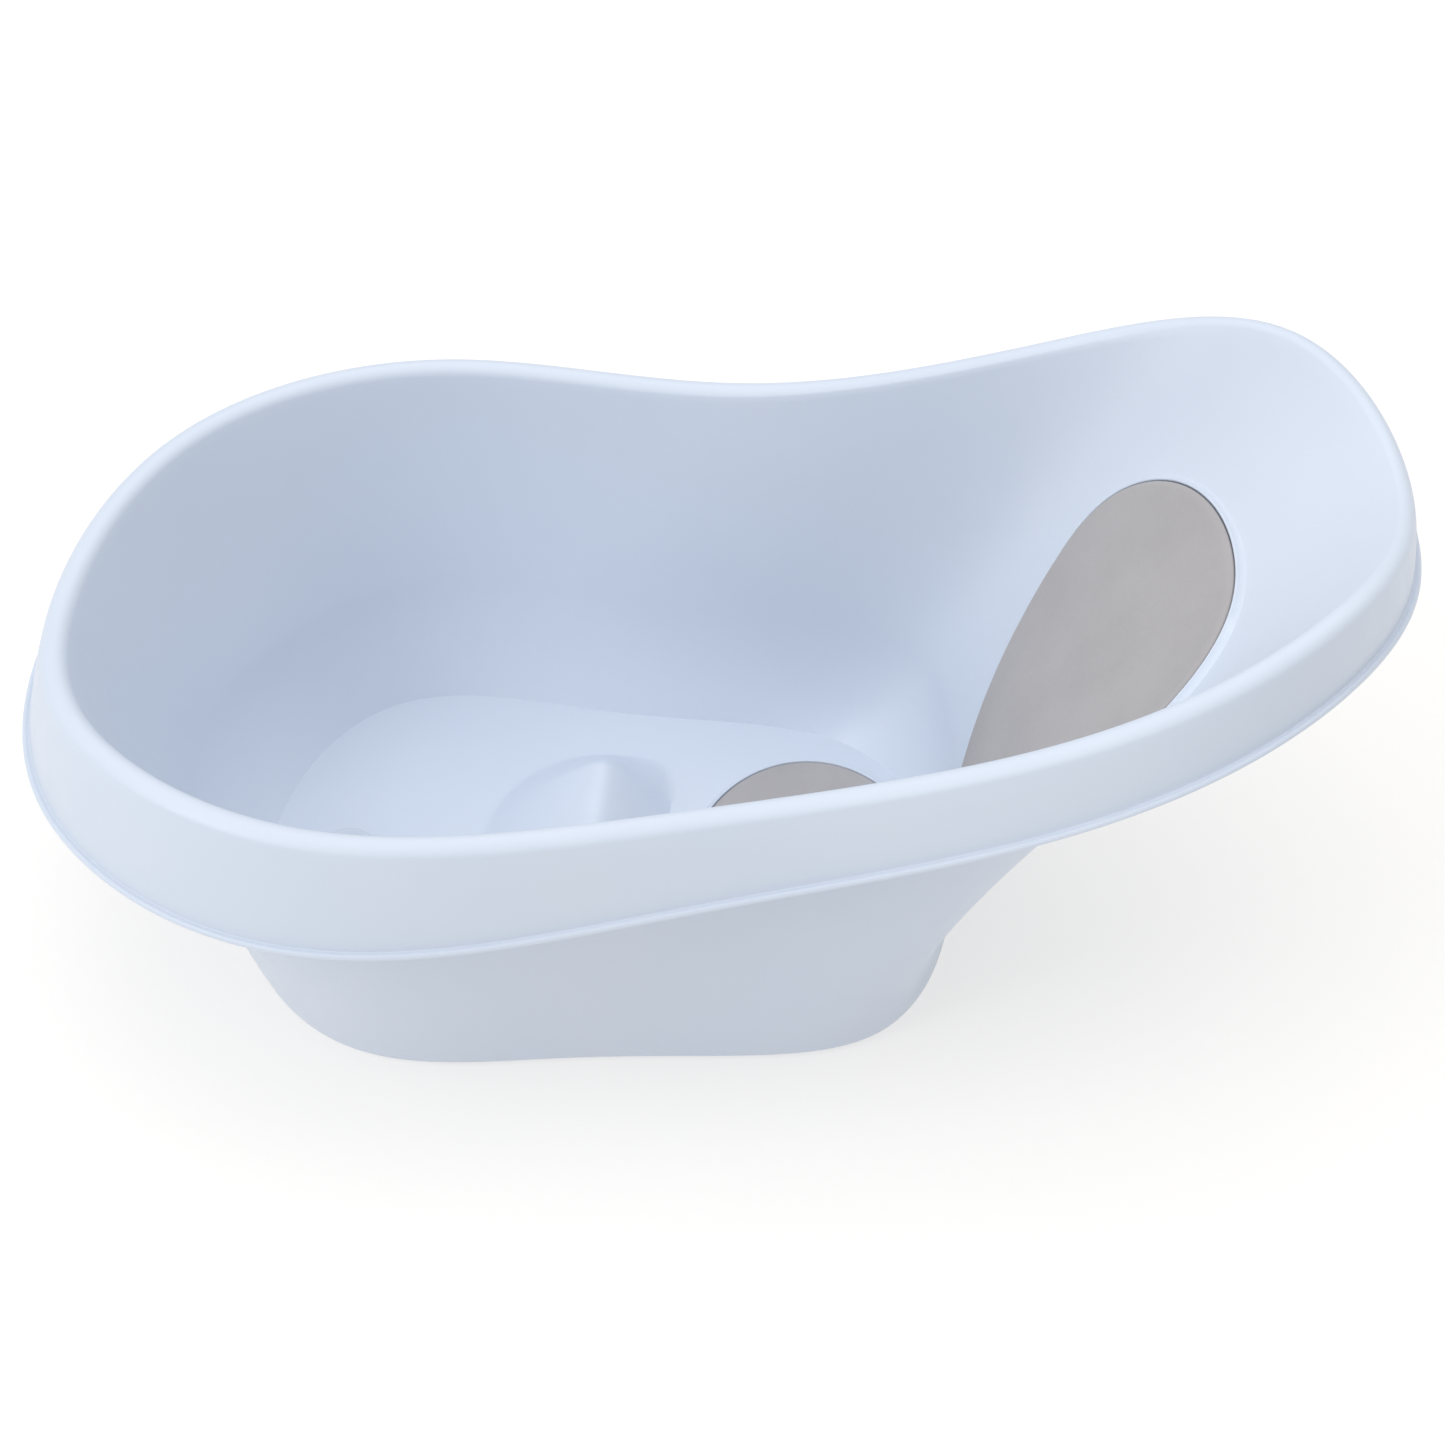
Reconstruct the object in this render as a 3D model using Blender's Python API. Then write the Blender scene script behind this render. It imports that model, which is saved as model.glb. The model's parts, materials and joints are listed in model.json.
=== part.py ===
"""Baby bathtub: one moulded tub with soft pads, a drain plug, feet and two fold-away legs.

Sizes are in millimetres and become metres when a mesh is made. +X is the head end, Z is up,
and the origin is under the middle of the tub, on the ground.
"""
import math

import bmesh
import bpy
import numpy as np

MM = 0.001

# Rim: the middle line of the rolled edge, from the foot tip (0) to the head tip (1).
RIM_MIDDLE_X = 6.0
RIM_LENGTH = 677.0
RIM_WIDTHS = (315, 275, 233, 181, 197, 242, 247)
RIM_HEIGHTS = (187, 195, 197, 203, 246, 291, 282)
ROLL_RADIUS = 6.3
# How much wider the roll opens as it turns outward, from the foot end to the head end.
ROLL_SPREAD = (2.5, 3.0, 3.0, 1.5, 0.0)
WALL = 2.6

# Apron: the skirt outside the roll, how far it leans out and how far it hangs down.
APRON_OUT = (23, 20, 16, 14, 11)
APRON_DROP = (44, 58, 43, 35, 28)
APRON_THICKNESS = 2.4
HEM_LIP = 3.0
HEM_HEIGHT = 3.4

# Floor: the crease where it meets the wall, then the outline of the flat bottom under it.
FLOOR_MIDDLE_X = -60.5
FLOOR_LENGTH = 373.0
FLOOR_WIDTHS = (216, 182, 130, 161, 200)
FLOOR_Z = 7.0
BASE_MIDDLE_X = -65.5
BASE_LENGTH = 412.0
BASE_WIDTHS = (125, 180, 152, 188, 264)
BOTTOM_Z = 3.0
BASE_EDGE_RADIUS = 5.0
BASE_WALL = 4.0
# The wall leaves the floor at a crisp crease and curves up; the curve's corner lies at these
# shares of the way to its top, sideways and upward.
FILLET_TOP = 0.15
FILLET_CORNER = np.array((0.5, 0.5, 0.4))
# How the wall flares: 1 is straight, more is upright first and leaning out near the rim.
WALL_FLARE = (1.1, 0.95, 1.1, 1.6, 1.31, 2.05)

# Raised bump that holds the baby's seat.
BUMP_CREST_X = -61.0
BUMP_CREST_ROUND = 7.0
BUMP_FOOT_RUN = 61.0
BUMP_HEAD_RUN = 32.0
BUMP_HALF_WIDTH = 90.0
BUMP_SHOULDER = 42.0
BUMP_HEIGHT = 34.0

# Soft pads.
PAD_THICKNESS = 5.0
PAD_GAP = 0.3
BACKREST_GAP = 0.9
SEAT_PAD_X = 58.0
SEAT_PAD_HALF = (65.0, 90.0)
BACKREST_LOW = 0.13
BACKREST_TOP = 0.814
# Half width at mid height, then how much wider it grows toward the top.
BACKREST_HALF = (85.0, 74.0)

# Drain.
DRAIN_X = -203.0
DRAIN_RADIUS = 10.0
PLUG_GAP = 0.3
PLUG_CAP_RADIUS = 14.0
PLUG_CAP_HEIGHT = 2.0
PLUG_TAB = (14.0, 3.0, 7.0)

# Rubber feet.
FOOT_RADIUS = 11.0
FEET = {"front_left": (-185, 85), "front_right": (-185, -85),
        "rear_left": (70, 82), "rear_right": (70, -82)}

# Fold-away legs under the head end.
LEG_Y = 62.0
LEG_WIDTH = 26.0
LEG_THICKNESS = 8.0
LEG_EYE_RADIUS = 6.5
LEG_WALL_HEIGHT = 0.5
LEG_STAND_OFF = 12.5
PIN_RADIUS = 2.5
EAR_THICKNESS = 4.0
EAR_RADIUS = 7.5
EAR_SINK = 1.4
TIP_LENGTH = 14.0

AROUND = 36


def clear_scene():
    for item in list(bpy.data.objects):
        bpy.data.objects.remove(item, do_unlink=True)


def spline(values, places):
    """Smooth curve through evenly spaced values, flat at both ends."""
    values = np.asarray(values, float)
    count = len(values)
    step = 1.0 / (count - 1)
    system = np.eye(count)
    right = np.zeros(count)
    for row in range(1, count - 1):
        system[row, row - 1:row + 2] = (1.0, 4.0, 1.0)
        right[row] = 3.0 * (values[row + 1] - values[row - 1]) / step
    slopes = np.linalg.solve(system, right)
    places = np.asarray(places, float)
    cell = np.clip((places / step).astype(int), 0, count - 2)
    t = places / step - cell
    low, high = values[cell], values[cell + 1]
    slope_low, slope_high = slopes[cell] * step, slopes[cell + 1] * step
    return ((2 * t**3 - 3 * t**2 + 1) * low + (t**3 - 2 * t**2 + t) * slope_low
            + (3 * t**2 - 2 * t**3) * high + (t**3 - t**2) * slope_high)


def around_places(half_count):
    """Places along the tub for one closed ring: out along +Y, back along -Y."""
    half = np.arange(half_count + 1) / half_count
    places = np.concatenate([half, half[-2:0:-1]])
    side = np.concatenate([np.ones(half_count + 1), -np.ones(half_count - 1)])
    return places, side


def outline(length, middle, widths, places, side):
    """Closed plan outline and its outward normals."""
    x = middle - 0.5 * length * np.cos(math.pi * places)
    y = side * np.sin(math.pi * places) * spline(widths, places)
    points = np.stack([x, y], axis=1)
    along = np.roll(points, -1, axis=0) - np.roll(points, 1, axis=0)
    normals = np.stack([-along[:, 1], along[:, 0]], axis=1)
    return points, normals / np.linalg.norm(normals, axis=1)[:, None]


def bump_height(x, y):
    """Height of the seat bump above the floor: rounded outline, crest across the tub."""
    across = np.clip(np.abs(y) / BUMP_HALF_WIDTH, 0.0, 1.0)
    foot_run = BUMP_FOOT_RUN * np.sqrt(1.0 - across**2) + 1e-6
    head_run = BUMP_HEAD_RUN * (1.0 - across**5) ** (1 / 5) + 1e-6
    away = np.hypot(x - BUMP_CREST_X, BUMP_CREST_ROUND) - BUMP_CREST_ROUND
    climb = np.clip(1.0 - away / np.where(x < BUMP_CREST_X, foot_run, head_run), 0.0, 1.0)
    past = np.hypot(np.maximum(np.abs(y) - BUMP_SHOULDER, 0.0), BUMP_CREST_ROUND) - BUMP_CREST_ROUND
    end = np.hypot(BUMP_HALF_WIDTH - BUMP_SHOULDER, BUMP_CREST_ROUND) - BUMP_CREST_ROUND
    return BUMP_HEIGHT * climb * np.clip(1.0 - past / end, 0.0, 1.0)


def ring(plan, height):
    return np.column_stack([plan, np.broadcast_to(height, len(plan))])


class TubForm:
    """The lines that shape the tub, sampled at the same places all the way round."""

    def __init__(self, half_count):
        places, side = around_places(half_count)
        self.floor, self.floor_out = outline(FLOOR_LENGTH, FLOOR_MIDDLE_X, FLOOR_WIDTHS, places, side)
        self.base, self.base_out = outline(BASE_LENGTH, BASE_MIDDLE_X, BASE_WIDTHS, places, side)
        self.rim, self.rim_out = outline(RIM_LENGTH, RIM_MIDDLE_X, RIM_WIDTHS, places, side)
        self.rim_z = spline(RIM_HEIGHTS, places)
        self.flare = spline(WALL_FLARE, places)
        self.spread = spline(ROLL_SPREAD, places)
        out, drop = spline(APRON_OUT, places), spline(APRON_DROP, places)
        size = np.hypot(out, drop)
        self.hem = np.stack([out, -drop], axis=1)
        self.apron_down = self.hem / size[:, None]
        self.apron_face = np.stack([drop, out], axis=1) / size[:, None]
        self.start = self.base - self.base_out * BASE_WALL
        reach = np.linalg.norm(self.rim - self.start, axis=1)
        self.lean = np.arctan2(self.rim_z - FLOOR_Z, self.flare * reach)
        self.medial = np.stack([np.clip(self.floor[:, 0], FLOOR_MIDDLE_X - 95, FLOOR_MIDDLE_X + 85),
                                np.zeros(len(places))], axis=1)

    def roll_ring(self, radius, angle):
        """Ring on the rolled edge, turned from the wall side (0) over the top to the apron (1)."""
        first = 0.5 * math.pi + self.lean
        last = np.arctan2(self.apron_face[:, 1], self.apron_face[:, 0])
        turn = first + (last - first) * angle
        away = (radius + self.spread * angle**2)[:, None]
        return self.edge_ring(away * np.stack([np.cos(turn), np.sin(turn)], axis=1))

    def edge_ring(self, offset):
        """Ring at an (outward, up) offset from the middle of the roll."""
        return ring(self.rim + self.rim_out * offset[:, :1], self.rim_z + offset[:, 1])

    def wall_ring(self, climb):
        """Ring on the inner wall, from the floor (0) to the roll (1)."""
        top = self.roll_ring(ROLL_RADIUS, 0.0)
        share = (climb ** self.flare)[:, None] if climb > 0 else 0.0
        plan = self.start + (top[:, :2] - self.start) * share
        return ring(plan, FLOOR_Z + (top[:, 2] - FLOOR_Z) * climb)

    def outer_ring(self, climb):
        """Ring on the outside of the wall, one wall thickness from the inner one."""
        here = self.wall_ring(climb)
        up = self.wall_ring(climb + 0.01) - self.wall_ring(climb - 0.01)
        along = np.roll(here, -1, axis=0) - np.roll(here, 1, axis=0)
        normal = np.cross(along, up)
        normal /= np.linalg.norm(normal, axis=1)[:, None]
        outward = np.sum(normal[:, :2] * self.rim_out, axis=1) > 0
        normal[~outward] *= -1.0
        return here + normal * WALL

    def fillet_ring(self, part):
        """Ring on the curve that joins the floor (0) to the inner wall (1)."""
        low = ring(self.floor, FLOOR_Z)
        high = self.wall_ring(FILLET_TOP)
        corner = low + (high - low) * FILLET_CORNER
        return (1 - part) ** 2 * low + 2 * part * (1 - part) * corner + part**2 * high

    def floor_ring(self, inward, base_z):
        """Ring on the floor or its underside, from the crease (0) to the middle line (1)."""
        plan = self.floor + (self.medial - self.floor) * inward
        return ring(plan, base_z + bump_height(plan[:, 0], plan[:, 1]))

    def bottom_edge_ring(self, turn):
        """Ring round the bottom edge, from flat underneath (0) to upright (1)."""
        angle = 0.5 * math.pi * turn
        inward = BASE_EDGE_RADIUS * (1.0 - math.sin(angle))
        height = BOTTOM_Z + BASE_EDGE_RADIUS * (1.0 - math.cos(angle))
        return ring(self.base - self.base_out * inward, height)

    def rings(self):
        """All rings of the tub's skin, from under the middle round to the floor's middle line."""
        inward = (0.93, 0.8, 0.65, 0.5, 0.35, 0.2)
        found = [self.floor_ring(1.0, BOTTOM_Z)]
        found += [self.floor_ring(part, BOTTOM_Z) for part in inward]
        found += [self.bottom_edge_ring(turn) for turn in (0.0, 0.5, 1.0)]
        found += [self.outer_ring(climb) for climb in (0.1, 0.22, 0.36, 0.5, 0.64, 0.78, 0.9)]
        found += [self.roll_ring(ROLL_RADIUS - WALL, angle) for angle in (0.0, 0.35, 0.7, 1.0)]
        inner_face = self.apron_face * APRON_THICKNESS
        lip = self.apron_face * HEM_LIP
        down = self.apron_down
        found += [self.edge_ring(self.hem * 0.45 - inner_face * 0.6)]
        found += [self.edge_ring(self.hem - inner_face)]
        found += [self.edge_ring(self.hem + lip * 0.6)]
        found += [self.edge_ring(self.hem + lip - down * 0.5 * HEM_HEIGHT)]
        found += [self.edge_ring(self.hem + lip * 0.6 - down * HEM_HEIGHT)]
        found += [self.edge_ring(self.hem - down * (HEM_HEIGHT + 0.2))]
        found += [self.edge_ring(self.hem * 0.5 + self.apron_face * 0.5 * (ROLL_RADIUS + self.spread)[:, None])]
        found += [self.roll_ring(ROLL_RADIUS, angle) for angle in (1.0, 0.8, 0.6, 0.4, 0.2, 0.0)]
        found += [self.wall_ring(climb) for climb in (0.9, 0.78, 0.64, 0.5, 0.36, 0.25)]
        found += [self.fillet_ring(part) for part in (1.0, 0.66, 0.33, 0.0)]
        found += [self.floor_ring(part, FLOOR_Z) for part in inward[::-1]]
        found += [self.floor_ring(1.0, FLOOR_Z)]
        return found

    def side_profile(self, y, surface, climbs):
        """Points of a wall surface in the upright plane at this y, on the head end."""
        found = []
        half = len(self.rim) // 2
        for climb in climbs:
            line = surface(climb)[half // 2:half + 1]
            order = np.argsort(line[:, 1])
            x = np.interp(abs(y), line[order, 1], line[order, 0])
            z = np.interp(abs(y), line[order, 1], line[order, 2])
            found.append((x, z))
        return np.array(found)


def material(name, colour, roughness):
    made = bpy.data.materials.new(name)
    made.use_nodes = True
    shader = made.node_tree.nodes["Principled BSDF"]
    shader.inputs["Base Color"].default_value = (*colour, 1.0)
    shader.inputs["Roughness"].default_value = roughness
    shader.inputs["Metallic"].default_value = 0.0
    return made


def add_mesh(name, points, faces, look, smooth=True):
    """New object from millimetre points; doubled points merge and faces turn outward."""
    mesh = bpy.data.meshes.new(name)
    mesh.from_pydata([tuple(float(value) * MM for value in point) for point in points], [], faces)
    work = bmesh.new()
    work.from_mesh(mesh)
    bmesh.ops.remove_doubles(work, verts=work.verts, dist=0.00001)
    bmesh.ops.dissolve_degenerate(work, edges=work.edges, dist=0.000005)
    bmesh.ops.triangulate(work, faces=[face for face in work.faces if len(face.verts) > 4])
    bmesh.ops.recalc_face_normals(work, faces=work.faces)
    work.to_mesh(mesh)
    work.free()
    mesh.materials.append(look)
    for face in mesh.polygons:
        face.use_smooth = smooth
    made = bpy.data.objects.new(name, mesh)
    bpy.context.collection.objects.link(made)
    return made


def ring_faces(ring_count, size):
    faces = []
    for row in range(ring_count - 1):
        for column in range(size):
            after = (column + 1) % size
            faces.append((row * size + column, row * size + after,
                          (row + 1) * size + after, (row + 1) * size + column))
    return faces


def boolean(target, tool, action):
    """Cut or join with a hidden tool object."""
    tool.hide_render = True
    tool.display_type = "WIRE"
    step = target.modifiers.new(action.lower() + "_" + tool.name, "BOOLEAN")
    step.operation = action
    step.object = tool
    step.solver = "EXACT"


def cylinder(name, centre, radius, length, axis, look, segments=32, smooth=True):
    """Closed cylinder along 'Y' or 'Z'."""
    points = []
    for end in (-0.5, 0.5):
        for turn in range(segments):
            angle = 2 * math.pi * (turn + 0.5) / segments
            a, b = radius * math.cos(angle), radius * math.sin(angle)
            local = (a, end * length, b) if axis == "Y" else (a, b, end * length)
            points.append(tuple(c + p for c, p in zip(centre, local)))
    faces = ring_faces(2, segments)
    faces += [tuple(range(segments)), tuple(range(segments, 2 * segments))]
    return add_mesh(name, points, faces, look, smooth)


def extruded(name, profile, middle_y, width, look):
    """Closed plate: an outline in X and Z, with its width along Y."""
    count = len(profile)
    points = [(x, middle_y + end * 0.5 * width, z) for end in (-1, 1) for x, z in profile]
    faces = ring_faces(2, count)
    faces += [tuple(range(count)), tuple(range(count, 2 * count))]
    return add_mesh(name, points, faces, look, smooth=False)


def tub_shell(form, look):
    rings = form.rings()
    return add_mesh("tub_shell", np.concatenate(rings), ring_faces(len(rings), len(rings[0])), look)


def pad(name, surface_points, gap, look):
    """Closed soft pad laid on a surface.

    surface_points gives, for a share of the way from the middle (0) to the edge (1), a closed
    loop of points on the surface and their normals.
    """
    levels = [(0.0, 0.0), (0.3, 0.0), (0.6, 0.0), (0.85, 0.0), (1.0, 0.0), (1.0, 0.5)]
    levels += [(0.985, 0.85), (0.96, 1.0), (0.85, 1.0), (0.6, 1.0), (0.3, 1.0), (0.0, 1.0)]
    rings = []
    for share, level in levels:
        points, normals = surface_points(share)
        rings.append(points + normals * (gap + level * PAD_THICKNESS))
    return add_mesh(name, np.concatenate(rings), ring_faces(len(rings), len(rings[0])), look)


def seat_surface(share):
    angles = np.linspace(0.0, 2 * math.pi, 48, endpoint=False)
    x = SEAT_PAD_X + share * SEAT_PAD_HALF[0] * np.cos(angles)
    y = share * SEAT_PAD_HALF[1] * np.sin(angles)
    points = np.column_stack([x, y, np.full(len(angles), FLOOR_Z)])
    return points, np.tile((0.0, 0.0, 1.0), (len(angles), 1))


class HeadWall:
    """Finds points on the inner head wall from a height share and a side distance."""

    def __init__(self, form):
        self.form = form

    def point(self, climb, y):
        x, z = self.form.side_profile(y, self.form.wall_ring, [climb])[0]
        return np.array([x, y, z])

    def surface(self, share):
        """Loop of the backrest pad's outline: a wide round top narrowing downward."""
        angles = np.linspace(0.0, 2 * math.pi, 48, endpoint=False)
        middle = 0.5 * (BACKREST_LOW + BACKREST_TOP)
        reach = 0.5 * (BACKREST_TOP - BACKREST_LOW)
        points, normals = [], []
        for angle in angles:
            climb = middle + share * reach * math.sin(angle)
            rise = math.sin(angle)
            half = BACKREST_HALF[0] + BACKREST_HALF[1] * rise
            y = share * half * math.cos(angle)
            here = self.point(climb, y)
            up = self.point(climb + 0.01, y) - self.point(climb - 0.01, y)
            side = self.point(climb, y + 1.0) - self.point(climb, y - 1.0)
            normal = np.cross(side, up)
            normal /= np.linalg.norm(normal)
            if normal[2] < 0:
                normal = -normal
            points.append(here)
            normals.append(normal)
        return np.array(points), np.array(normals)


def drain_plug(look):
    """Stopper with a domed cap, a stem in the drain hole and a finger tab."""
    stem = DRAIN_RADIUS - PLUG_GAP
    low = BOTTOM_Z - 1.0
    seat = FLOOR_Z + PLUG_GAP
    profile = [(0.0, low), (stem - 1.2, low), (stem, low + 1.2), (stem, seat),
               (PLUG_CAP_RADIUS - 0.6, seat), (PLUG_CAP_RADIUS, seat + 0.6),
               (PLUG_CAP_RADIUS - 0.5, seat + 1.4), (PLUG_CAP_RADIUS - 2.5, seat + PLUG_CAP_HEIGHT),
               (0.0, seat + PLUG_CAP_HEIGHT + 0.6)]
    segments = 40
    points = []
    for radius, height in profile:
        for turn in range(segments):
            angle = 2 * math.pi * turn / segments
            points.append((DRAIN_X + radius * math.cos(angle), radius * math.sin(angle), height))
    plug = add_mesh("drain_plug", points, ring_faces(len(profile), segments), look)
    length, thick, height = PLUG_TAB
    base = seat + PLUG_CAP_HEIGHT - 1.0
    arc = [(DRAIN_X + 0.5 * length * math.cos(turn), base + height * math.sin(turn))
           for turn in np.linspace(0.0, math.pi, 13)]
    tab = extruded("drain_plug_tab_tool", arc, 0.0, thick, look)
    boolean(plug, tab, "UNION")
    return plug


def foot(name, place, look):
    height = BOTTOM_Z - PAD_GAP
    return cylinder(name, (place[0], place[1], 0.5 * height), FOOT_RADIUS, height, "Z", look, 28)


def ear_outline(form, y, pivot):
    """Ear of a leg hinge: round at the pin, its root sunk in the outside of the wall."""
    wall = form.side_profile(y, form.outer_ring, np.linspace(LEG_WALL_HEIGHT - 0.09,
                                                             LEG_WALL_HEIGHT + 0.09, 7))
    slope = wall[-1] - wall[0]
    slope /= np.linalg.norm(slope)
    inward = np.array([-slope[1], slope[0]])
    root = wall + inward * EAR_SINK
    first = math.atan2(slope[1], slope[0])
    arc = [pivot + EAR_RADIUS * np.array([math.cos(first - turn), math.sin(first - turn)])
           for turn in np.linspace(0.0, math.pi, 11)]
    return [tuple(point) for point in root] + [tuple(point) for point in arc]


def leg_frame(form):
    """Pin place and the folded direction of a leg, in the upright plane of the leg."""
    climbs = (LEG_WALL_HEIGHT - 0.02, LEG_WALL_HEIGHT + 0.02)
    wall = form.side_profile(LEG_Y, form.outer_ring, climbs)
    slope = wall[1] - wall[0]
    slope /= np.linalg.norm(slope)
    outward = np.array([slope[1], -slope[0]])
    pivot = wall.mean(axis=0) + outward * LEG_STAND_OFF
    high = form.side_profile(LEG_Y, form.outer_ring, (0.9,))[0]
    aim = high + outward * (LEG_STAND_OFF - 3.0) - pivot
    return pivot, aim / np.linalg.norm(aim)


def bar_outline(pivot, along, start, end, half_near, half_far, round_end):
    """Outline of a leg bar: two sides from start to end, round at the pin if asked."""
    across = np.array([-along[1], along[0]])
    points = []
    if round_end:
        first = math.atan2(across[1], across[0])
        for turn in np.linspace(0.0, math.pi, 11):
            way = np.array([math.cos(first + turn), math.sin(first + turn)])
            points.append(pivot + LEG_EYE_RADIUS * way)
    else:
        points += [pivot + along * start + across * half_near, pivot + along * start - across * half_near]
    points += [pivot + along * end - across * half_far, pivot + along * end + across * half_far]
    return [tuple(point) for point in points]


def leg(form, shell, side_name, y, looks):
    """One leg with its rubber tip and hinge pin, and its two ears on the tub."""
    pivot, along = leg_frame(form)
    length = pivot[1] - 0.4
    bar_end = length - TIP_LENGTH + 4.0
    half = 0.5 * LEG_THICKNESS
    bar = extruded("leg_" + side_name,
                   bar_outline(pivot, along, 0.0, bar_end, half, half - 0.6, True), y, LEG_WIDTH,
                   looks["plastic"])
    hole = cylinder("leg_hole_tool_" + side_name, (pivot[0], y, pivot[1]), PIN_RADIUS + PAD_GAP,
                    LEG_WIDTH + 4.0, "Y", looks["plastic"], 24)
    boolean(bar, hole, "DIFFERENCE")
    tip = extruded("leg_tip_" + side_name,
                   bar_outline(pivot, along, bar_end + PAD_GAP, length, half, half, False), y,
                   LEG_WIDTH, looks["rubber"])
    ear_gap = 0.5 * LEG_WIDTH + 0.4 + 0.5 * EAR_THICKNESS
    for number, ear_y in enumerate((y - ear_gap, y + ear_gap)):
        ear = extruded("leg_ear_tool_%s_%d" % (side_name, number), ear_outline(form, ear_y, pivot),
                       ear_y, EAR_THICKNESS, looks["plastic"])
        boolean(shell, ear, "UNION")
    ear_hole = cylinder("ear_hole_tool_" + side_name, (pivot[0], y, pivot[1]),
                        PIN_RADIUS + PAD_GAP, 2 * ear_gap + 3 * EAR_THICKNESS, "Y",
                        looks["plastic"], 24)
    boolean(shell, ear_hole, "DIFFERENCE")
    pin = cylinder("leg_pin_" + side_name, (pivot[0], y, pivot[1]), PIN_RADIUS,
                   2 * ear_gap + EAR_THICKNESS + 1.0, "Y", looks["pin"], 24)
    return bar, tip, pin


def main():
    clear_scene()
    looks = {
        "plastic": material("pale_blue_plastic", (0.56, 0.65, 0.80), 0.35),
        "pad": material("grey_foam", (0.42, 0.41, 0.42), 0.75),
        "plug": material("white_plug_plastic", (0.78, 0.80, 0.83), 0.4),
        "rubber": material("dark_grey_rubber", (0.06, 0.06, 0.065), 0.8),
        "pin": material("hinge_pin_plastic", (0.50, 0.55, 0.62), 0.4),
    }
    form = TubForm(AROUND)
    shell = tub_shell(form, looks["plastic"])
    hole = cylinder("drain_hole_tool", (DRAIN_X, 0.0, 5.0), DRAIN_RADIUS, 30.0, "Z",
                    looks["plastic"], 40)
    boolean(shell, hole, "DIFFERENCE")
    pad("seat_pad", seat_surface, PAD_GAP, looks["pad"])
    pad("backrest_pad", HeadWall(form).surface, BACKREST_GAP, looks["pad"])
    drain_plug(looks["plug"])
    for place_name, place in FEET.items():
        foot("foot_" + place_name, place, looks["rubber"])
    for side_name, side in (("left", 1), ("right", -1)):
        leg(form, shell, side_name, side * LEG_Y, looks)


main()
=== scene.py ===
import json
import math

import bmesh
import bpy
import numpy as np
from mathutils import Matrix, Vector


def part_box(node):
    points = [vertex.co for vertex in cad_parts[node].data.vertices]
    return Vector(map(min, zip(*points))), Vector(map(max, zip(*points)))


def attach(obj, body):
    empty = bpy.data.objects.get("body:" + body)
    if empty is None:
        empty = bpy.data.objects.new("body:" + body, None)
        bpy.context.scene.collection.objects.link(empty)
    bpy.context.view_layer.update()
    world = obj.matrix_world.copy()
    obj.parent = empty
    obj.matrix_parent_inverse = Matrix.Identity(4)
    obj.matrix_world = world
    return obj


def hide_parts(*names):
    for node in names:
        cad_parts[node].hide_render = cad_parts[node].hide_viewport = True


# Baby bathtub: fine shapes, materials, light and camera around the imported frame.
# Shapes are worked out in millimetres and become metres when a mesh is made.
MM = 0.001

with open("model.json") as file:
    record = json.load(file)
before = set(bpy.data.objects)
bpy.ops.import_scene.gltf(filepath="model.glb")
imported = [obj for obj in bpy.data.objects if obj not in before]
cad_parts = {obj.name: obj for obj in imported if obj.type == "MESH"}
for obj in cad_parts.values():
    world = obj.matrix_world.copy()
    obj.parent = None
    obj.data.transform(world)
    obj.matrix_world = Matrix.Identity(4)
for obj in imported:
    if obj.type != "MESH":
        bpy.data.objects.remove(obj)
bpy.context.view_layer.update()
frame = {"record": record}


def node_box(node):
    """Lowest and highest corner of a CAD node, in millimetres."""
    low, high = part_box(node)
    return np.array(low) / MM, np.array(high) / MM


# Rim: the middle line of the rolled edge, from the foot tip (0) to the head tip (1).
RIM_MIDDLE_X = 6.0
RIM_LENGTH = 677.0
RIM_WIDTHS = (315, 275, 233, 181, 197, 242, 247)
RIM_HEIGHTS = (187, 195, 197, 203, 246, 291, 282)
ROLL_RADIUS = 6.3
# How much wider the roll opens as it turns outward, from the foot end to the head end.
ROLL_SPREAD = (2.5, 3.0, 3.0, 1.5, 0.0)
WALL = 2.6

# Apron: the skirt outside the roll, how far it leans out and how far it hangs down.
APRON_OUT = (23, 20, 16, 14, 11)
APRON_DROP = (44, 58, 43, 35, 28)
APRON_THICKNESS = 2.4
HEM_LIP = 3.0
HEM_HEIGHT = 3.4

# Floor: the crease where it meets the wall, then the outline of the flat bottom under it.
FLOOR_MIDDLE_X = -60.5
FLOOR_LENGTH = 373.0
FLOOR_WIDTHS = (216, 182, 130, 161, 200)
FLOOR_Z = 7.0
BASE_MIDDLE_X = -65.5
BASE_LENGTH = 412.0
BASE_WIDTHS = (125, 180, 152, 188, 264)
BOTTOM_Z = 3.0
BASE_EDGE_RADIUS = 5.0
BASE_WALL = 4.0
# The floor's rings close on a middle line that ends this far from its middle.
MEDIAL_FOOT = 95
MEDIAL_HEAD = 85
STANDING_BEAD = 1.2
# The wall leaves the floor at a crisp crease and curves up. Away from the head end the curve is
# taller than the CAD tub's. These say how far up the wall it ends, from the foot end to the head
# end, and where its corner lies on the way there.
FILLET_TOP = (0.36, 0.36, 0.34, 0.24, 0.15)
FILLET_CORNER = np.array((0.75, 0.75, 0.44))
WALL_FLARE = (1.1, 0.95, 1.1, 1.6, 1.31, 2.05)

# Raised bump that holds the baby's seat.
BUMP_CREST_X = -61.0
BUMP_CREST_ROUND = 7.0
BUMP_FOOT_RUN = 61.0
BUMP_HEAD_RUN = 32.0
BUMP_HALF_WIDTH = 90.0
BUMP_SHOULDER = 42.0
BUMP_HEIGHT = 34.0

# Drain.
DRAIN_RADIUS = 10.0
DRAIN_DISH = 0.8
PLUG_GAP = 0.3

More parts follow.
